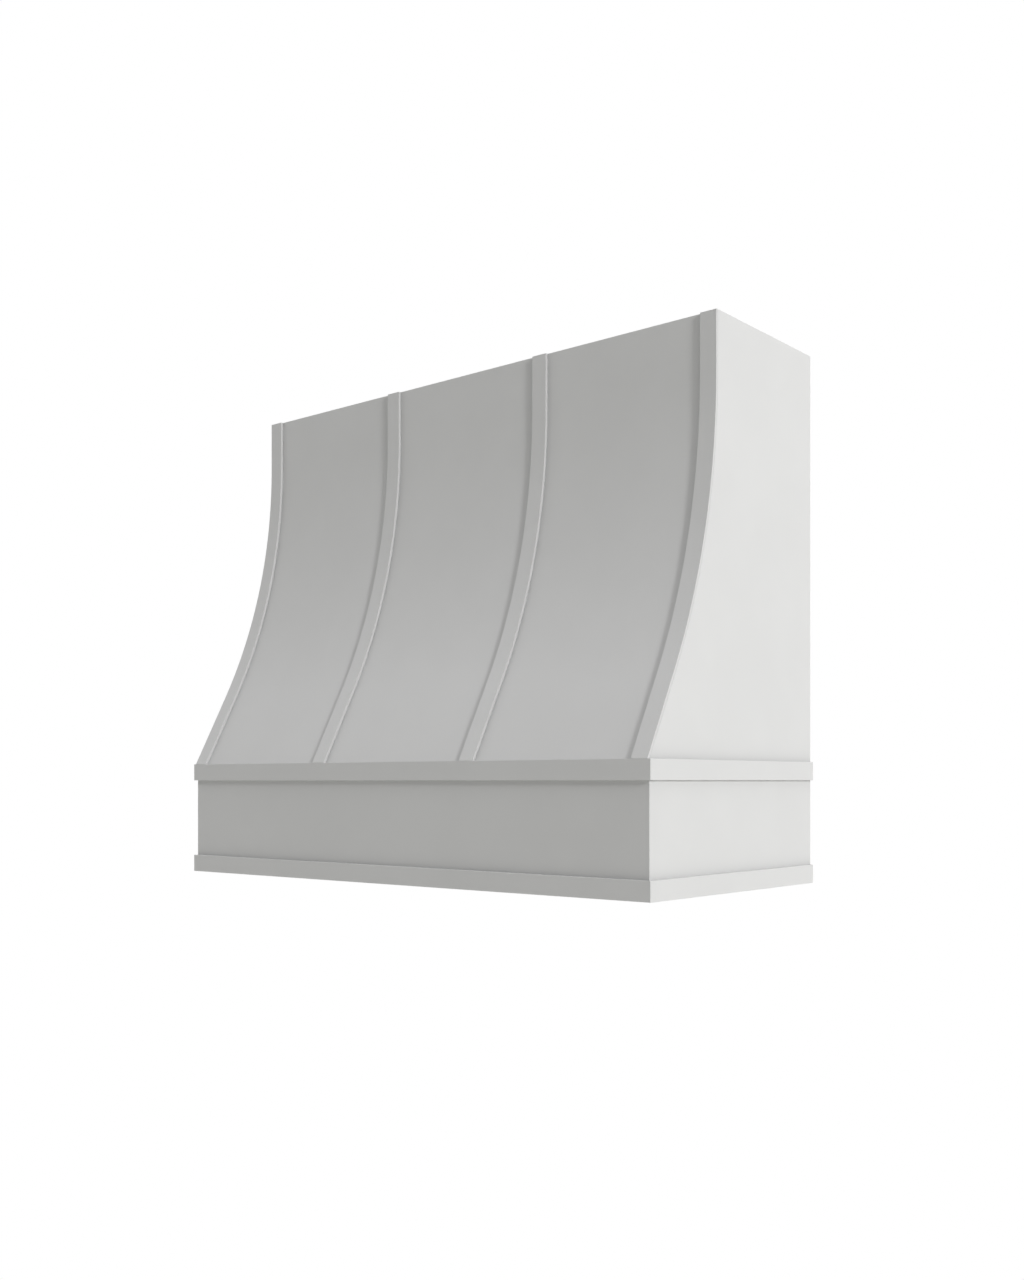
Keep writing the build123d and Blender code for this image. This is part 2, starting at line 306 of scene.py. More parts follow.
# %% The peeled face of plywood
veneer_pale = shade(236, 217, 185)
veneer_warm = shade(226, 201, 164)
veneer_line = shade(201, 165, 122)
veneer_pore = shade(168, 128, 90)
hill_length = 560 * MM
hill_width = 75 * MM
rings_in_hill = 11
late_wood = (0.3, 0.92)
contour_share = 0.32
mottle_length = 150 * MM
mottle_width = 16 * MM
mottle_range = (0.35, 0.65)
fibre_length = 20 * MM
fibre_width = 0.5 * MM
fibre_range = (0.4, 0.8)
fibre_share = 0.3
fibre_height = 0.02
pore_length = 7 * MM
pore_width = 0.3 * MM
pore_range = (0.64, 0.74)
pore_share = 0.6
pore_depth = 0.05


def veneer_face(graph, place, along):
    """Colour and height of the peeled veneer on the face of the board."""
    hills = graph.noise(stretched(place, along, hill_length, hill_width))
    ring = (hills * rings_in_hill).of("FRACT")
    contour = ring.step(*late_wood) - ring.step(late_wood[1], 1.0)
    mottle = graph.noise(stretched(place, along, mottle_length, mottle_width), detail=3.0)
    fibres = graph.noise(stretched(place, along, fibre_length, fibre_width))
    pores = graph.noise(stretched(place, along, pore_length, pore_width), detail=1.0)
    open_pore = pores.step(*pore_range)
    tone = graph.blend(mottle.step(*mottle_range), veneer_warm, veneer_pale)
    ringed = graph.blend(contour * contour_share, tone, veneer_line)
    fibred = graph.blend(fibres.step(*fibre_range) * fibre_share, ringed, veneer_line)
    colour = graph.blend(open_pore * pore_share, fibred, veneer_pore)
    return colour, fibre_height * fibres - pore_depth * open_pore


print("veneer: contours about", round(hill_width / rings_in_hill / MM, 1), "mm apart")

# %% [markdown]
# The edge of the board is a stack of thin plies: every second one shows end grain and is
# darker, and a thin glue line lies between them. The count of plies is odd, as it is in every
# plywood, and comes from the thickness of the board.

# %% The stacked edge of plywood
ply_long = shade(222, 194, 152)
ply_end = shade(178, 140, 99)
glue_line = shade(108, 76, 52)
usual_ply = 2.3 * MM
glue_thickness = 0.12 * MM
ply_change = (0.49, 0.51)
speckle_width = 0.5 * MM
speckle_range = (0.45, 0.75)
speckle_share = 0.35
speckle_height = 0.06
joint_fade = (0.5, 1.2)
joint_share = 0.8
joint_depth = 0.08


def ply_count(thickness):
    """The odd number of plies of about the usual thickness that fill the board."""
    return 2 * round(thickness / usual_ply / 2) + 1


def ply_edge(graph, place, thin, start, thickness):
    """Colour and height of the stack of plies on the edge of the board."""
    ply_thickness = thickness / ply_count(thickness)
    depth = (place.parts()[axis_number[thin]] - start) / ply_thickness
    within = depth.of("FRACT")
    pair = (depth / 2).of("FRACT").step(*ply_change)
    speckle = graph.noise(place, 1 / speckle_width)
    wood = graph.blend(pair, ply_long, ply_end)
    worn = graph.blend(speckle.step(*speckle_range) * speckle_share, wood, veneer_pore)
    to_joint = (0.5 - abs(within - 0.5)) * (ply_thickness / glue_thickness)
    joint = 1 - to_joint.step(*joint_fade)
    colour = graph.blend(joint * joint_share, worn, glue_line)
    return colour, speckle_height * speckle - joint_depth * joint


apron_thickness = apron_high.y - apron_low.y
print("the apron board has", ply_count(apron_thickness), "plies")

# %% [markdown]
# The pattern is solid: it is worked out from the place inside the board, so that a face, an edge
# and a cut hole agree without any unwrapping. Which of the two a point shows depends on whether
# its surface looks along the board's thickness.

# %% A raw plywood board
raw_roughness = 0.62
relief_in_roughness = 0.5
face_range = (0.6, 0.8)


def birch_plywood(graph, place, looks, thin, along, start, thickness):
    """Colour, roughness and height of a raw plywood board."""
    face_colour, face_height = veneer_face(graph, place, along)
    edge_colour, edge_height = ply_edge(graph, place, thin, start, thickness)
    on_face = abs(looks.parts()[axis_number[thin]]).step(*face_range)
    colour = graph.blend(on_face, edge_colour, face_colour)
    height = on_face * face_height + (1 - on_face) * edge_height
    return colour, raw_roughness + height * relief_in_roughness, height


print("raw plywood has a roughness of about", raw_roughness)

# %% [markdown]
# ## Raw softwood
# The cleats and the corner blocks are sawn pine. Pine is rings round a pith that lies somewhere
# beside the piece: pale spring wood that turns slowly into dark summer wood and then jumps back.
# Cutting that solid along the grain gives lines, and across it gives arcs, so one formula, the
# distance from the pith, draws both. Two noises bend the rings and make good years and bad ones:
# their strengths say by how many rings they shift the pattern.
# Each piece has its own pith, so no two look alike.

# %% Softwood
spring_wood = shade(236, 209, 163)
mid_wood = shade(227, 192, 138)
summer_wood = shade(192, 141, 87)
ring_width = 3.4 * MM
ring_height = 0.012
bow_length = 350 * MM
bow_width = 40 * MM
rings_bowed = 4
year_width = 11 * MM
rings_of_years = 2
pine_fibre_length = 40 * MM
pine_fibre_height = 0.04
saw_pitch = 1.1 * MM
saw_height = 0.006
sawn_roughness = 0.68
fibre_in_roughness = 0.1
season_stops = [(0.0, spring_wood), (0.5, mid_wood), (0.86, summer_wood), (1.0, spring_wood)]


def sawn_pine(graph, place, along, pith):
    """Colour, roughness and height of a sawn softwood stick."""
    bow = graph.noise(stretched(place, along, bow_length, bow_width))
    years = graph.noise(stretched(place, along, bow_length, year_width))
    across = [axis for axis in "xyz" if axis != along]
    offsets = [place.parts()[axis_number[axis]] - pith[axis_number[axis]] for axis in across]
    distance = (offsets[0] * offsets[0] + offsets[1] * offsets[1]).of("SQRT")
    season = (distance / ring_width + bow * rings_bowed + years * rings_of_years).of("FRACT")
    rings = graph.add("ShaderNodeValToRGB", {"stops": season_stops}, {"Fac": season})["Color"]
    fibres = graph.noise(stretched(place, along, pine_fibre_length, fibre_width))
    colour = graph.blend(fibres.step(*fibre_range) * fibre_share, rings, summer_wood)
    saw_marks = (place.parts()[axis_number[along]] * (2 * pi / saw_pitch)).of("SINE")
    height = ring_height * season + pine_fibre_height * fibres + saw_height * saw_marks
    return colour, sawn_roughness + fibres * fibre_in_roughness, height


print("softwood: rings", round(ring_width / MM, 1), "mm apart")

# %% [markdown]
# ## One surface from colour, roughness and height
# All finishes end in the same Principled shader. Straight pieces are worked out from their place
# in the frame, and bent ones from the place that each point had before the strip was bent.

# %% Start and close a material
surface_gloss = 0.35
strip_place = "strip_place"


def new_finish(name, strip=False):
    """An empty material, with the place on the piece and the way the surface looks."""
    material = bpy.data.materials.new(name)
    material.use_nodes = True
    material.node_tree.nodes.clear()
    graph = Graph(material.node_tree)
    if strip:
        place = graph.add("ShaderNodeAttribute", {"attribute_name": strip_place})["Vector"]
    else:
        place = graph.add("ShaderNodeTexCoord")["Object"]
    looks = graph.add("ShaderNodeNewGeometry")["True Normal"]
    return material, graph, place, looks


def close_finish(graph, colour, roughness, height, metallic=0.0):
    """Join colour, roughness and height in millimetres to the surface output."""
    relief = {"Strength": 1.0, "Distance": MM, "Height": height}
    normal = graph.add("ShaderNodeBump", {}, relief)["Normal"]
    sockets = {"Base Color": colour, "Roughness": roughness, "Normal": normal}
    sockets["Metallic"] = metallic
    sockets["Specular IOR Level"] = surface_gloss
    surface = graph.add("ShaderNodeBsdfPrincipled", {}, sockets)["BSDF"]
    graph.add("ShaderNodeOutputMaterial", {}, {"Surface": surface})


print("helpers made:", new_finish.__name__, close_finish.__name__)

# %% [markdown]
# Three kinds of piece have one finish all over: the painted strips of the straps and bands, the
# boards that stay raw, and the sticks. A stick's pith lies a few centimetres beside its middle.

# %% Finishes of one kind all over
turn_range = (0.4, 0.6)
pith_offset = Vector((21, -34, -27)) * MM


def moulding_finish(name, along, thin, foot, strip=False):
    """A strap or a band, painted all over, with painted shade on its narrow sides near the corner
    at its foot.
    """
    material, graph, place, looks = new_finish(name, strip)
    on_side = 1 - abs(looks.parts()[axis_number[thin]]).step(*turn_range)
    painted_shade = on_side * nearness(place, [(thin, foot)]) * painted_side_shade
    close_finish(graph, *sprayed_paint(graph, place, along, grain_in_paint, painted_shade))
    return material


def raw_board_finish(name, thin, along, start, thickness):
    """A plywood board left raw all over."""
    material, graph, place, looks = new_finish(name)
    close_finish(graph, *birch_plywood(graph, place, looks, thin, along, start, thickness))
    return material


def pine_finish(name, along, middle):
    """A sawn stick, with its pith a little way outside it."""
    material, graph, place = new_finish(name)[:3]
    close_finish(graph, *sawn_pine(graph, place, along, middle + pith_offset))
    return material


print("a pith lies", round(pith_offset.length / MM), "mm from the middle of its stick")

# %% [markdown]
# A board that is painted on its outside and raw inside mixes the two sets of values by a mask
# before the shader, and not two shaders after it, so that paint and wood share one relief. The
# mask asks which way the surface looks. Spray also drifts over the arris on to the cut edges, so
# there the mask fades over a ragged millimetre or two, as it does on real pieces.

# %% A board painted on its outside
overspray = 2.5 * MM
ragged_width = 2 * MM
outward = {"-x": (-1, 0, 0), "+x": (1, 0, 0), "-y": (0, -1, 0), "-z": (0, 0, -1)}


def faces(looks, way):
    """1 where the surface looks the given way, and 0 elsewhere."""
    x, y, z = looks.parts()
    wanted = outward[way]
    return (x * wanted[0] + y * wanted[1] + z * wanted[2]).step(*turn_range)


def half_painted_finish(
    name, thin, along, start, thickness, outside, outer_face, steps, strip=False
):
    """A plywood board painted where it looks outside, with spray over its arrises."""
    material, graph, place, looks = new_finish(name, strip)
    # The steps say where painted shade darkens the paint along the raised edges.
    paint = sprayed_paint(graph, place, along, 0.0, nearness(place, steps))
    wood = birch_plywood(graph, place, looks, thin, along, start, thickness)
    ragged = graph.noise(place, 1 / ragged_width, detail=3.0) * overspray
    from_face = abs(place.parts()[axis_number[thin]] - outer_face)
    drifted = 1 - (from_face - ragged).step(0.0, overspray)
    mask = drifted
    for way in outside:
        mask = mask.at_least(faces(looks, way))
    colour = graph.blend(mask, wood[0], paint[0])
    roughness = mask * paint[1] + (1 - mask) * wood[1]
    height = mask * paint[2] + (1 - mask) * wood[2]
    close_finish(graph, colour, roughness, height)
    return material


print("spray drifts", overspray / MM, "mm over an arris")

# %% [markdown]
# ## Finishes on the frame's own pieces
# A piece of the frame is never moved or reshaped here, so dressing it means giving it a finish
# that knows which way its board is thin and which way its grain runs. The lists below say that
# for each piece, and the board's own box says where its first ply starts. The boards that no
# one sees from the room come first: they are raw all over.

# %% Raw boards
def dress(name, material):
    """Give a piece of the frame its finish."""
    slots = nodes[name].data.materials
    slots.clear()
    slots.append(material)


raw_boards = {
    "base_stretcher": ("z", "x"),
    "top_front_rail": ("y", "x"),
    "top_back_rail": ("y", "x"),
    "lower_back_rail": ("y", "x"),
    "left_rib": ("x", "z"),
    "right_rib": ("x", "z"),
    "insert_shelf": ("z", "x"),
}
for name, (thin, along) in raw_boards.items():
    low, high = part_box(name)
    start = low[axis_number[thin]]
    thickness = high[axis_number[thin]] - start
    dress(name, raw_board_finish(name + "_plywood", thin, along, start, thickness))
print("dressed:", len(raw_boards), "raw boards")

# %% [markdown]
# The cleats that carry the shelf and the blocks in the corners are sticks, each cut along its
# own grain.

# %% Sticks
sticks = {
    "left_cleat": "y",
    "right_cleat": "y",
    "front_cleat": "x",
    "back_cleat": "x",
    "left_corner_block": "z",
    "right_corner_block": "z",
}
for name, along in sticks.items():
    low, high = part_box(name)
    dress(name, pine_finish(name + "_pine", along, (low + high) / 2))
print("dressed:", len(sticks), "sticks")

# %% [markdown]
# Each band is three strips that meet at the front corners. A strip on the front runs along x
# and is thin along y, and one on a side is the other way round.

# %% Bands
for level in ("lower", "upper"):
    paint = moulding_finish(f"{level}_front_paint", "x", "y", -apron_low.y)
    dress(f"{level}_band_front", paint)
    for hand in ("left", "right"):
        paint = moulding_finish(f"{level}_{hand}_paint", "y", "x", side_high.x)
        dress(f"{level}_band_{hand}", paint)
band_low, band_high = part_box("lower_band_front")
print("a band stands out by", round((apron_low.y - band_low.y) / MM, 1), "mm")

# %% [markdown]
# The side panels and the apron are painted where they look out into the room or down at the
# cooker, and raw behind. Painted shade darkens their colour along the bands, at the heights of
# the bands' own edges.

# %% Painted panels
upper_band_low, upper_band_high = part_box("upper_band_front")
apron_steps = [("z", band_high.z), ("z", upper_band_low.z)]
side_steps = apron_steps + [("z", upper_band_high.z)]
for hand, outside in (("left", "-x"), ("right", "+x")):
    low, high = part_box(f"{hand}_side_panel")
    outer = low.x if hand == "left" else high.x
    painted = (outside, "-y", "-z")
    board = ("x", "z", low.x, high.x - low.x)
    finish = half_painted_finish(f"{hand}_side_finish", *board, painted, outer, side_steps)
    dress(f"{hand}_side_panel", finish)
board = ("y", "x", apron_low.y, apron_thickness)
finish = half_painted_finish("apron_finish", *board, ("-y", "-z"), apron_low.y, apron_steps)
dress("apron_board", finish)
print("painted edges on a side at", [round(z / MM, 1) for axis, z in side_steps], "mm")

# %% [markdown]
# ## The bent skin and the straps
# In the workshop the front skin is a straight flexible board that is bent over curved ribs, and
# the straps are straight strips bent over the skin. They could be modelled as cut curves, but it
# is simpler to do as the joiner does: start from a straight strip with many stations along its
# length, and bend it with one rule. The rule runs down the strip: first plumb, then round an arc
# whose centre lies in front, then straight on along the flare. A point that lies deeper behind
# the face runs round a larger arc, which is what keeps the thickness even.
# The arc's radius isn't measured. It is the one that joins the crown to the foot with the plumb
# and the flare given, so that the three meet without a kink.

# %% The rule of the sweep
crown = strap_high.y - strap_thickness
foot = strap_low.y
arc_top = top - plumb_height
run = crown - foot
rise = arc_top - base
tangent = (rise**2 + run**2 - flare_length**2) / (2 * (rise + flare_length))
flare_angle = atan2(run, rise - tangent)
face_radius = tangent / tan(flare_angle / 2)
flare_degrees = flare_angle * 180 / pi
print("sweep: radius", round(face_radius / MM), "mm, flare", round(flare_degrees, 2), "degrees")

# %% [markdown]
# Geometry Nodes hold the rule, because one tree then bends all five pieces, each with its own
# width and depth. The tree's sizes are named inputs. The straight strip comes from a Mesh Cube
# with stations along its height, and a Set Position node moves every point to its bent place.

# %% A tree with named inputs
def new_tree(name, numbers):
    """A geometry tree with a geometry input, a number for each name, and a material."""
    tree = bpy.data.node_groups.new(name, "GeometryNodeTree")
    tree.interface.new_socket("Geometry", in_out="INPUT", socket_type="NodeSocketGeometry")
    for label, value in numbers.items():
        kind = "NodeSocketInt" if isinstance(value, int) else "NodeSocketFloat"
        socket = tree.interface.new_socket(label, in_out="INPUT", socket_type=kind)
        socket.default_value = value
    tree.interface.new_socket("Finish", in_out="INPUT", socket_type="NodeSocketMaterial")
    tree.interface.new_socket("Geometry", in_out="OUTPUT", socket_type="NodeSocketGeometry")
    graph = Graph(tree)
    return tree, graph, graph.add("NodeGroupInput")


def close_tree(graph, geometry, finish):
    """Realize what was made, give it its material and send it out."""
    real = graph.add("GeometryNodeRealizeInstances", {}, {"Geometry": geometry})["Geometry"]
    sockets = {"Geometry": real, "Material": finish}
    done = graph.add("GeometryNodeSetMaterial", {}, sockets)["Geometry"]
    graph.add("NodeGroupOutput", {}, {"Geometry": done})


def grow(name, start, tree, values):
    """Run a tree on a start mesh and keep the result as a plain mesh with no modifier."""
    seed = bpy.data.objects.new(name + "_seed", start)
    bpy.context.scene.collection.objects.link(seed)
    modifier = seed.modifiers.new("shape", "NODES")
    modifier.node_group = tree
    names = {item.name: item.identifier for item in tree.interface.items_tree}
    for label, value in values.items():
        modifier[names[label]] = value
    grown = seed.evaluated_get(bpy.context.evaluated_depsgraph_get())
    mesh = bpy.data.meshes.new_from_object(grown)
    mesh.name = name
    seed.modifiers.remove(modifier)
    bpy.data.objects.remove(seed)
    piece = bpy.data.objects.new(name, mesh)
    bpy.context.scene.collection.objects.link(piece)
    return piece


print("helpers made:", new_tree.__name__, close_tree.__name__, grow.__name__)

# %% [markdown]
# The tree starts from a straight strip that is as wide as the piece and one unit deep and high.
# It runs from y = -0.5 at its face to 0.5 at its back, and z tells how far down a point lies.

# %% The tree of a strip
sweep_sizes = {
    "Width": 0.03,
    "Middle": 0.0,
    "Front Inset": 0.0,
    "Back Inset": strap_thickness,
    "Stations": 97,
    "Plumb": plumb_height,
    "Radius": face_radius,
    "Flare Angle": flare_angle,
    "Crown": crown,
    "Top": top,
    "Base": base,
}
sweep_tree, graph, given = new_tree("Bent strip", sweep_sizes)
size = graph.add("ShaderNodeCombineXYZ", {}, {"X": given["Width"], "Y": 1.0, "Z": 1.0})["Vector"]
sockets = {"Size": size, "Vertices X": 2, "Vertices Y": 2, "Vertices Z": given["Stations"]}
straight = graph.add("GeometryNodeMeshCube", {}, sockets)["Mesh"]
x, y, z = graph.add("GeometryNodeInputPosition")["Position"].parts()
print("inputs of the strip:", ", ".join(sweep_sizes))

# %% [markdown]
# The back of a strip has a longer way round the arc than its face, so each point finds its own
# travel: down the plumb part, round the arc, then along the flare. Before a point moves it
# stores where it lay in the straight strip, for the grain and the coat of paint.

# %% Bend the strip by the rule
angle = given["Flare Angle"]
inset = given["Front Inset"] + (y + 0.5) * (given["Back Inset"] - given["Front Inset"])
radius = given["Radius"] + inset
arc = radius * angle
arc_foot = given["Top"] - given["Plumb"] - radius * angle.of("SINE")
flare = (arc_foot - given["Base"]) / angle.of("COSINE")
travel = (0.5 - z) * (given["Plumb"] + arc + flare)
fallen = travel.at_most(given["Plumb"])
turned = ((travel - given["Plumb"]) / radius).at_least(0.0).at_most(angle)
flared = (travel - given["Plumb"] - arc).at_least(0.0)
bent_y = given["Crown"] - given["Radius"] + radius * turned.of("COSINE")
bent_z = given["Top"] - fallen - radius * turned.of("SINE")
across = x + given["Middle"]
sockets = {"X": across, "Y": inset, "Z": travel * -1}
straight_place = graph.add("ShaderNodeCombineXYZ", {}, sockets)["Vector"]
settings = {"data_type": "FLOAT_VECTOR", "domain": "POINT"}
sockets = {"Geometry": straight, "Name": strip_place, "Value": straight_place}
marked = graph.add("GeometryNodeStoreNamedAttribute", settings, sockets)["Geometry"]
sockets = {
    "X": across,
    "Y": bent_y - flared * angle.of("SINE"),
    "Z": bent_z - flared * angle.of("COSINE"),
}
bent_place = graph.add("ShaderNodeCombineXYZ", {}, sockets)["Vector"]
sockets = {"Geometry": marked, "Position": bent_place}
bent = graph.add("GeometryNodeSetPosition", {}, sockets)["Geometry"]
smooth = graph.add("GeometryNodeSetShadeSmooth", {}, {"Geometry": bent})["Geometry"]
close_tree(graph, smooth, given["Finish"])
print("tree:", sweep_tree.name, "with", len(sweep_tree.nodes), "nodes")

# %% [markdown]
# The tree runs once for the skin and once for each strap. The arris comes from a Bevel modifier
# with hardened normals, so that the broad faces stay flat and only the edge rounds over. Each
# piece stands for the plain one of the frame, and the print shows how far its box lies from that
# one's: it should be nothing.

# %% Bend the skin and the straps
def bend(node, front, back, finish):
    """Bend a strip over the place of a piece of the frame and let it stand for that piece."""
    low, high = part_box(node)
    values = {
        "Width": high.x - low.x,
        "Middle": (high.x + low.x) / 2,
        "Front Inset": front,
        "Back Inset": back,
        "Finish": finish,
    }
    piece = grow(node + "_bent", bpy.data.meshes.new("seed"), sweep_tree, values)
    soften = piece.modifiers.new("arris", "BEVEL")
    soften.width = arris
    soften.segments = 2
    soften.harden_normals = True
    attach(piece, "root")
    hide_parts(node)
    corners = np.array([corner.co for corner in piece.data.vertices])
    off = max(abs(corners.min(0) - low).max(), abs(corners.max(0) - high).max())
    print(f"{piece.name}: {len(piece.data.polygons)} faces, box off by {off / MM:.3f} mm")
    return piece


strap_finish = moulding_finish("strap_paint", "z", "y", strap_thickness, strip=True)
for name in ("left_end_strap", "left_inner_strap", "right_inner_strap", "right_end_strap"):
    bend(name, 0.0, strap_thickness, strap_finish)
skin_back = strap_thickness + skin_thickness
board = ("y", "z", strap_thickness, skin_thickness)
inner_low, inner_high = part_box("right_inner_strap")
# The skin takes painted shade beside the edges of the straps.
skin_steps = [("x", inner_low.x), ("x", inner_high.x), ("x", strap_low.x)]
painted = ("-y",)
skin_finish = half_painted_finish(
    "skin_finish", *board, painted, strap_thickness, skin_steps, strip=True
)
bend("swept_skin", strap_thickness, skin_back, skin_finish)

# %% [markdown]
# ## Screws
# Two kinds hold the cover together. Countersunk screws with a cross recess fasten the cleats, the
# shelf and the ribs. Round-headed pocket screws with a square recess sit at the bottom of sloping
# pockets in the rails. One screw of each kind is built inside a tree, in millimetres, with its
# head at the origin and its point down. The recess is cut out with a boolean, which is cheap on
# one small head. The tree then sets a copy on every point of a start mesh, turned at random
# about its own axis, since nobody lines up screw heads inside a hood. The parts of a shank run
# into each other a little, so that no gap shows between them.

# %% Parts of a screw
round_sides = 24
shank_sides = 12
neck_swell = 1.15
neck_sink = 0.5
core_overlap = 0.4
tip_overlap = 0.1
tip_radius = 0.15


def moved(graph, geometry, height):
    """A part of the screw shifted along the screw's axis."""
    shift = graph.add("ShaderNodeCombineXYZ", {}, {"X": 0.0, "Y": 0.0, "Z": height})["Vector"]
    sockets = {"Geometry": geometry, "Translation": shift}
    return graph.add("GeometryNodeTransform", {}, sockets)["Geometry"]


def cone(graph, low_radius, high_radius, depth, foot, sides):
    """A cone or a cylinder that stands on the given height."""
    sockets = {"Vertices": sides, "Radius Top": high_radius, "Radius Bottom": low_radius}
    sockets["Depth"] = depth
    return moved(graph, graph.add("GeometryNodeMeshCone", {}, sockets)["Mesh"], foot)


def boolean(graph, operation, first, others):
    """Union of solids, or the first solid with the others cut out."""
    settings = {"operation": operation, "solver": "EXACT"}
    sockets = {1: [first, *others]} if operation == "UNION" else {0: first, 1: others}
    return graph.add("GeometryNodeMeshBoolean", settings, sockets)["Mesh"]


def shank(graph, given):
    """The smooth neck, the threaded core, the point, and the thread wound round the core."""
    length = given["Length"]
    neck = given["Neck"]
    point = given["Point"]
    core = given["Core Radius"]
    cut_length = length - neck - point
    wide = core * neck_swell
    smooth_neck = cone(graph, wide, wide, neck, neck * -1 - neck_sink, shank_sides)
    body = cone(graph, core, core, cut_length + core_overlap, point - length, shank_sides)
    tip = cone(graph, tip_radius, core, point + tip_overlap, length * -1, shank_sides)
    sockets = {"Resolution": shank_sides, "Rotations": cut_length / given["Pitch"]}
    sockets.update({"Start Radius": core, "End Radius": core, "Height": cut_length})
    helix = graph.add("GeometryNodeCurveSpiral", {}, sockets)["Curve"]
    sockets = {"Resolution": 3, "Radius": given["Thread Height"]}
    ridge = graph.add("GeometryNodeCurvePrimitiveCircle", {}, sockets)["Curve"]
    sockets = {"Curve": helix, "Profile Curve": ridge, "Fill Caps": True}
    wound = graph.add("GeometryNodeCurveToMesh", {}, sockets)["Mesh"]
    return [smooth_neck, body, tip, moved(graph, wound, point - length)]


def crossed_slots(graph, length, width, depth):
    """Two slots at right angles, for a cross recess."""
    slots = []
    for size in ((length, width), (width, length)):
        sockets = {"X": size[0], "Y": size[1], "Z": depth * 2}
        box_size = graph.add("ShaderNodeCombineXYZ", {}, sockets)["Vector"]
        slots.append(graph.add("GeometryNodeMeshCube", {}, {"Size": box_size})["Mesh"])
    return slots


print("a round head has", round_sides, "sides and a shank", shank_sides)

# %% [markdown]
# Scattering is the same for both kinds. The start mesh has a point at each head's middle and
# carries the screw's axis as an attribute, and the tree turns each copy's own Z axis to it.
# Sharp edges are marked by their angle, so that round sides shade smooth and rims stay crisp.

# %% Set a screw on every point
turn_seed = 7
crisp_angle = radians(35)


def scatter(graph, given, parts):
    """Join a screw's parts, smooth it, and put a copy on each point, in metres."""
    screw = graph.add("GeometryNodeJoinGeometry", {}, {"Geometry": parts})["Geometry"]
    smooth = graph.add("GeometryNodeSetShadeSmooth", {}, {"Geometry": screw})["Geometry"]
    bend_angle = graph.add("GeometryNodeInputMeshEdgeAngle")["Unsigned Angle"]
    is_sharp = bend_angle.math("GREATER_THAN", bend_angle, crisp_angle)
    sockets = {"Geometry": smooth, "Selection": is_sharp, "Shade Smooth": False}
    crisp = graph.add("GeometryNodeSetShadeSmooth", {"domain": "EDGE"}, sockets)["Geometry"]
    settings = {"data_type": "FLOAT_VECTOR"}
    axis = graph.add("GeometryNodeInputNamedAttribute", settings, {"Name": "axis"})["Attribute"]
    upright = graph.add("FunctionNodeAlignRotationToVector", {"axis": "Z"}, {"Vector": axis})
    sockets = {"Min": 0.0, "Max": 2 * pi, "Seed": turn_seed}
    turn = graph.add("FunctionNodeRandomValue", {"data_type": "FLOAT"}, sockets)["Value"]
    sockets = {"Axis": (0.0, 0.0, 1.0), "Angle": turn}
    spin = graph.add("FunctionNodeAxisAngleToRotation", {}, sockets)["Rotation"]
    sockets = {"Rotation": upright["Rotation"], "Rotate By": spin}
    turned = graph.add("FunctionNodeRotateRotation", {"rotation_space": "LOCAL"}, sockets)
    sockets = {"Points": given["Geometry"], "Instance": crisp, "Scale": (MM, MM, MM)}
    sockets["Rotation"] = turned["Rotation"]
    copies = graph.add("GeometryNodeInstanceOnPoints", {}, sockets)["Instances"]
    close_tree(graph, copies, given["Finish"])


print("screws are turned at random with seed", turn_seed)

# %% [markdown]
# The countersunk head is a cone, with two crossed slots and a small pit where they meet. Its
# depths are shares of the head's own depth.

# %% The countersunk screw
shank_sizes = {"Length": 32.0, "Neck": 7.0, "Point": 4.0, "Core Radius": 1.35, "Pitch": 2.0}
shank_sizes["Thread Height"] = 0.5
sunk_sizes = {"Head Radius": 4.15, "Head Depth": 2.4, "Slot Length": 4.6, "Slot Width": 0.9}
sunk_sizes.update(shank_sizes)
slot_share = 0.7
pit_share = 0.9
pit_radius = 1.3
pit_point = 0.1
pit_sides = 8

sunk_tree, graph, given = new_tree("Countersunk screw", sunk_sizes)
depth = given["Head Depth"]
head = cone(graph, given["Core Radius"], given["Head Radius"], depth, depth * -1, round_sides)
slots = crossed_slots(graph, given["Slot Length"], given["Slot Width"], depth * slot_share)
pit = cone(graph, pit_point, pit_radius, depth, depth * -pit_share, pit_sides)
scatter(graph, given, [boolean(graph, "DIFFERENCE", head, [*slots, pit]), *shank(graph, given)])
print("tree:", sunk_tree.name, "with", len(sunk_tree.nodes), "nodes")

# %% [markdown]
# The pocket screw has a flat rim that seats on the bottom of the pocket and a button on top of
# it, and the square recess goes down into both. Radii are shares of the rim's own, and heights
# of the head's.

# %% The pocket screw
pocket_sizes = {"Head Radius": 4.1, "Head Height": 2.5, "Rim": 0.8, "Square": 2.7}
pocket_sizes.update(shank_sizes)
rim_top_share = 0.96
button_foot_share = 0.78
button_top_share = 0.6
rim_overlap = 0.9
square_share = 1.6

pocket_tree, graph, given = new_tree("Pocket screw", pocket_sizes)
height = given["Head Height"]
wide = given["Head Radius"]
rim = cone(graph, wide, wide * rim_top_share, given["Rim"], height * -1, round_sides)
foot_height = given["Rim"] * rim_overlap - height
low_wide = wide * button_foot_share
high_wide = wide * button_top_share
button = cone(graph, low_wide, high_wide, foot_height * -1, foot_height, round_sides)
sockets = {"X": given["Square"], "Y": given["Square"], "Z": height * square_share}
square = graph.add("ShaderNodeCombineXYZ", {}, sockets)["Vector"]
recess = graph.add("GeometryNodeMeshCube", {}, {"Size": square})["Mesh"]
head = boolean(graph, "DIFFERENCE", boolean(graph, "UNION", rim, [button]), [recess])
scatter(graph, given, [head, *shank(graph, given)])
print("tree:", pocket_tree.name, "with", len(pocket_tree.nodes), "nodes")

# %% [markdown]
# Where the screws sit is read from the frame. Each group there holds plain six-sided screws.
# A copy of its mesh is merged and walked piece by piece: the wide end is the head, the narrow
# end the point, and the line between them the axis.

# %% Find each screw's head and axis
end_slice = 0.2 * MM


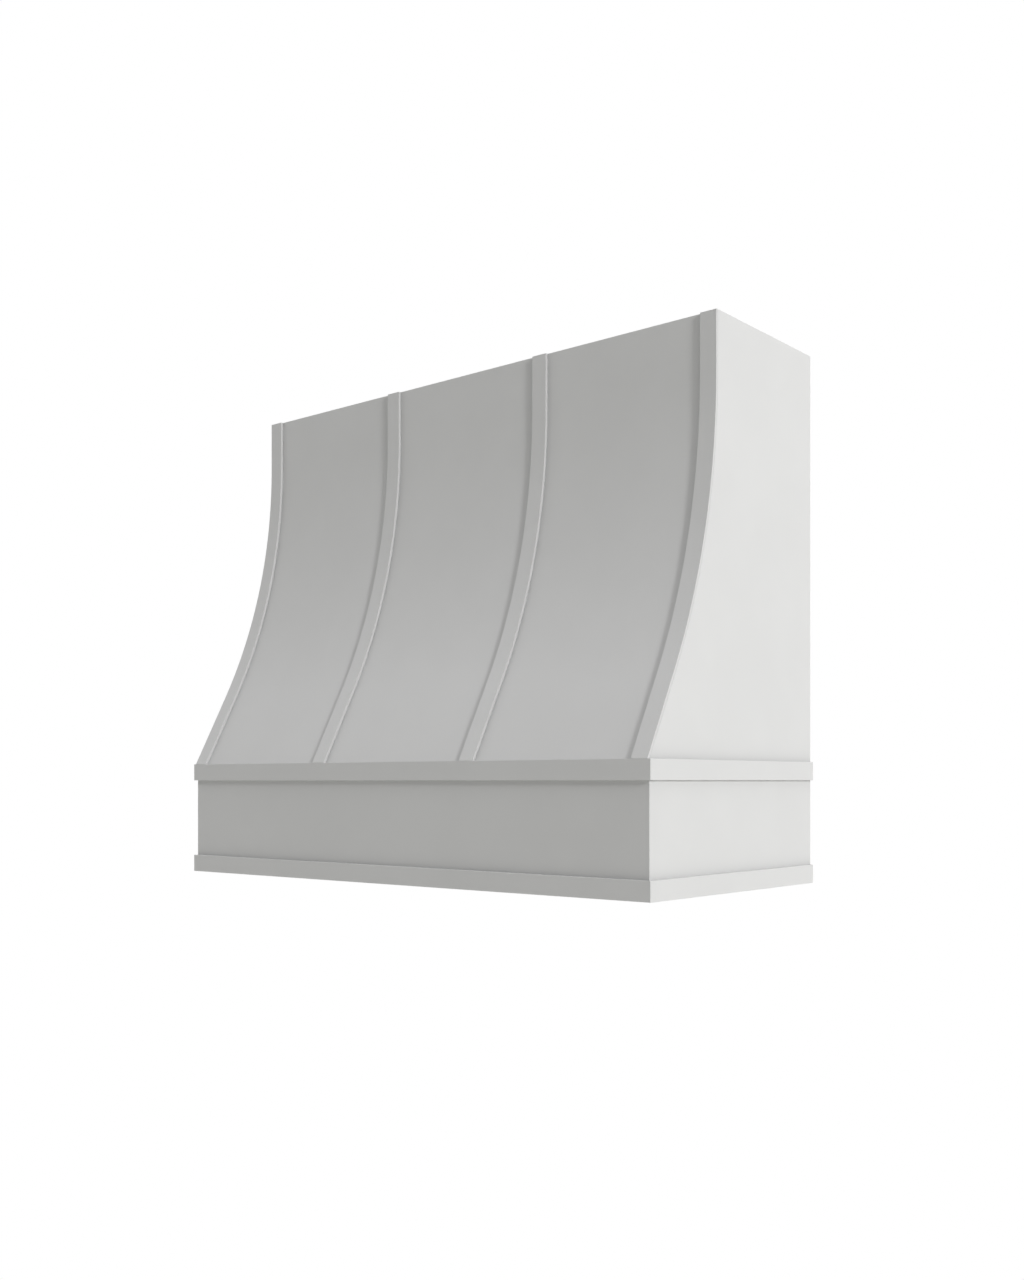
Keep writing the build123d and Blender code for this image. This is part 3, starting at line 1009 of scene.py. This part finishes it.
def islands(mesh):
    """The corners of each separate solid of a mesh, in the order of the mesh."""
    copy = bmesh.new()
    copy.from_mesh(mesh)
    bmesh.ops.remove_doubles(copy, verts=copy.verts, dist=0.001 * MM)
    found = []
    for first in copy.verts:
        if first.tag:
            continue
        first.tag = True
        group = [first]
        for corner in group:
            for edge in corner.link_edges:
                other = edge.other_vert(corner)
                if not other.tag:
                    other.tag = True
                    group.append(other)
        found.append(np.array([corner.co for corner in group]))
    copy.free()
    return found


def head_and_axis(corners):
    """The middle of a screw's head and the unit vector from its point to its head."""
    middle = corners.mean(0)
    direction = np.linalg.svd(corners - middle)[2][0]
    along = (corners - middle) @ direction
    ends = [corners[along > along.max() - end_slice], corners[along < along.min() + end_slice]]
    ends.sort(key=lambda end: np.ptp(end, axis=0).sum())
    point = ends[0].mean(0)
    head = ends[1].mean(0)
    return head, (head - point) / np.linalg.norm(head - point)


example = [head_and_axis(corners) for corners in islands(nodes["rib_screws"].data)]
print("rib screws:", len(example), "and the first head lies at", example[0][0].round(4))

# %% [markdown]
# The screws are zinc plated: a bright metal that a yellow wash has left uneven, with fine
# scratches from the driver. Metal takes its look from what it mirrors, so the scratches change
# its roughness more than its colour.

# %% Zinc
zinc_bright = shade(196, 198, 200)
zinc_yellow = shade(218, 211, 188)
patch_width = 2.5 * MM
patch_range = (0.35, 0.7)
scratch_width = 0.25 * MM
scratch_height = 0.01
zinc_roughness = 0.26
scratch_in_roughness = 0.22

zinc, graph, place = new_finish("zinc")[:3]
patches = graph.noise(place, 1 / patch_width, detail=3.0)
scratches = graph.noise(place, 1 / scratch_width)
colour = graph.blend(patches.step(*patch_range), zinc_bright, zinc_yellow)
roughness = zinc_roughness + scratch_in_roughness * scratches
close_finish(graph, colour, roughness, scratch_height * scratches, metallic=1.0)
print("finish:", zinc.name, "with", len(zinc.node_tree.nodes), "nodes")

# %% [markdown]
# Now each group of plain screws gives its seats to a start mesh of loose points, and the tree
# of its kind sets a finished screw on every one.

# %% Set the screws
screw_kinds = {
    "pocket_screws": pocket_tree,
    "cleat_screws": sunk_tree,
    "shelf_screws": sunk_tree,
    "rib_screws": sunk_tree,
}
for name, tree in screw_kinds.items():
    seats = [head_and_axis(corners) for corners in islands(nodes[name].data)]
    points = bpy.data.meshes.new(name + "_seats")
    points.from_pydata([tuple(head) for head, axis in seats], [], [])
    stored = points.attributes.new("axis", "FLOAT_VECTOR", "POINT")
    stored.data.foreach_set("vector", np.array([axis for head, axis in seats]).ravel())
    piece = grow(name + "_driven", points, tree, {"Finish": zinc})
    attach(piece, "root")
    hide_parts(name)
    print(f"{piece.name}: {len(seats)} screws, {len(piece.data.polygons)} faces")

# %% [markdown]
# ## World, floor and light
# The world lights the object by a plain grey. The camera sees white paper in its place, and so
# does a ray that a gloss sends on, so that metal mirrors the same background.

# %% World
ambient = 0.15
paper = (1.0, 1.0, 1.0, 1.0)


def seen_directly(graph):
    """1 for what the camera sees, straight or by way of a reflection or a clear surface."""
    path = graph.add("ShaderNodeLightPath")
    reflected = path["Is Camera Ray"].at_least(path["Is Glossy Ray"])
    return reflected.at_least(path["Is Transmission Ray"])


world = bpy.data.worlds.new("studio")
bpy.context.scene.world = world
world.use_nodes = True
world.node_tree.nodes.clear()
graph = Graph(world.node_tree)
grey = (ambient, ambient, ambient, 1.0)
surround = graph.blend(seen_directly(graph), grey, paper)
backdrop = graph.add("ShaderNodeBackground", {}, {"Color": surround})["Background"]
graph.add("ShaderNodeOutputWorld", {}, {"Surface": backdrop})
print("world:", world.name, "with a light of", ambient)

# %% [markdown]
# The cover hangs as it does over a cooker, with its foot 30 inches above a 36-inch worktop, so
# the floor lies that far below it. The far floor is white paper to the camera too. Round the
# object it is a lit white sheet instead, so that it keeps the cover's shadow.

# %% Floor
inch = 25.4 * MM
worktop_height = 36 * inch
clearance = 30 * inch
floor_drop = clearance + worktop_height
floor_half = 30.0
shadow_reach = (1.2, 2.2)
floor_colour = shade(232, 232, 227)

mesh = bpy.data.meshes.new("floor")
corners = [(-1, -1), (1, -1), (1, 1), (-1, 1)]
points = [(x * floor_half, y * floor_half, -floor_drop) for x, y in corners]
mesh.from_pydata(points, [], [(0, 1, 2, 3)])
material = bpy.data.materials.new("floor_paper")
material.use_nodes = True
material.node_tree.nodes.clear()
graph = Graph(material.node_tree)
seen = seen_directly(graph)
x, y = graph.add("ShaderNodeTexCoord")["Object"].parts()[:2]
away = (x * x + y * y).of("SQRT").step(*shadow_reach)
colour = graph.blend(seen, floor_colour, paper)
lit = graph.add("ShaderNodeBsdfDiffuse", {}, {"Color": colour})["BSDF"]
glow = graph.add("ShaderNodeEmission", {}, {"Color": paper, "Strength": 1.0})["Emission"]
mixed = graph.add("ShaderNodeMixShader", {}, {0: seen * away, 1: lit, 2: glow})["Shader"]
graph.add("ShaderNodeOutputMaterial", {}, {"Surface": mixed})
mesh.materials.append(material)
floor = bpy.data.objects.new("floor", mesh)
bpy.context.scene.collection.objects.link(floor)
print("floor", round(floor_drop, 3), "m below the foot of the cover")

# %% [markdown]
# Five lamps stand far off, so that the light is as strong on the left of the cover as on its
# right. The key lamp stands low on the right and is the smallest: it grazes the front, and the
# straps and bands throw short shadows there. The side lamp stands further back and makes the
# side the brightest face. The top and left lamps brighten the flare, and the fill lamp reaches
# the inside from behind. These four are wide and soft.
# A lamp's power is worked out from the light that should arrive, so that a colour renders about
# as it is written: P watts from d metres light a facing surface to P / (pi d)^2 of its colour.

# %% Lamps
lamp_distance = 14.0
studio_middle = Vector((0.0, -0.25, 0.45))


def softbox(name, turn, lift, share, size):
    """A square lamp that lights a facing surface to the given share of its own colour.

    Turn goes round from the right-hand side towards the front, and lift is how high it stands,
    both in degrees."""
    data = bpy.data.lights.new(name, "AREA")
    data.shape = "SQUARE"
    data.size = size
    data.energy = share * (pi * lamp_distance) ** 2
    turn, lift = radians(turn), radians(lift)
    direction = Vector((cos(turn) * cos(lift), -sin(turn) * cos(lift), sin(lift)))
    lamp = bpy.data.objects.new(name, data)
    lamp.location = studio_middle + direction * lamp_distance
    lamp.rotation_euler = direction.to_track_quat("Z", "Y").to_euler()
    bpy.context.scene.collection.objects.link(lamp)
    print(f"{name}: {data.energy:.0f} W, {size} m square")


softbox("key_lamp", 14, 20, 0.39, 2.0)
softbox("side_lamp", -20, 10, 0.20, 5.6)
softbox("top_lamp", 0, 88, 0.285, 7.0)
softbox("left_lamp", 150, 50, 0.14, 7.0)
softbox("fill_lamp", -145, 35, 0.4, 7.0)

# %% [markdown]
# ## Camera
# The uprights of the cover are parallel in the photograph, so the camera is level and its lens
# is shifted, as for a picture of a building. The two sets of level edges run to two vanishing
# points on the horizon, and those give the focal length, in pixels of the photograph, and the
# turn. The known width of the cover then gives the distance. The sensor's 36 mm lie along the
# longer side of the picture, which is its height.

# %% Camera
photo_height = 1280
focal_pixels = 1340.1
horizon_row = 780.95
eye = (1.6331, -2.1172, 0.1767)
turn_to_left = radians(39.994)
level = radians(90)

camera = bpy.data.cameras.new("camera")
camera.sensor_width = 36.0
camera.lens = focal_pixels * camera.sensor_width / photo_height
camera.shift_y = (horizon_row - photo_height / 2) / photo_height
viewer = bpy.data.objects.new("camera", camera)
viewer.location = eye
viewer.rotation_euler = (level, 0.0, turn_to_left)
bpy.context.scene.collection.objects.link(viewer)
bpy.context.scene.camera = viewer
bpy.context.scene.view_settings.view_transform = "Standard"
print("lens", round(camera.lens, 2), "mm, shift", round(camera.shift_y, 4))
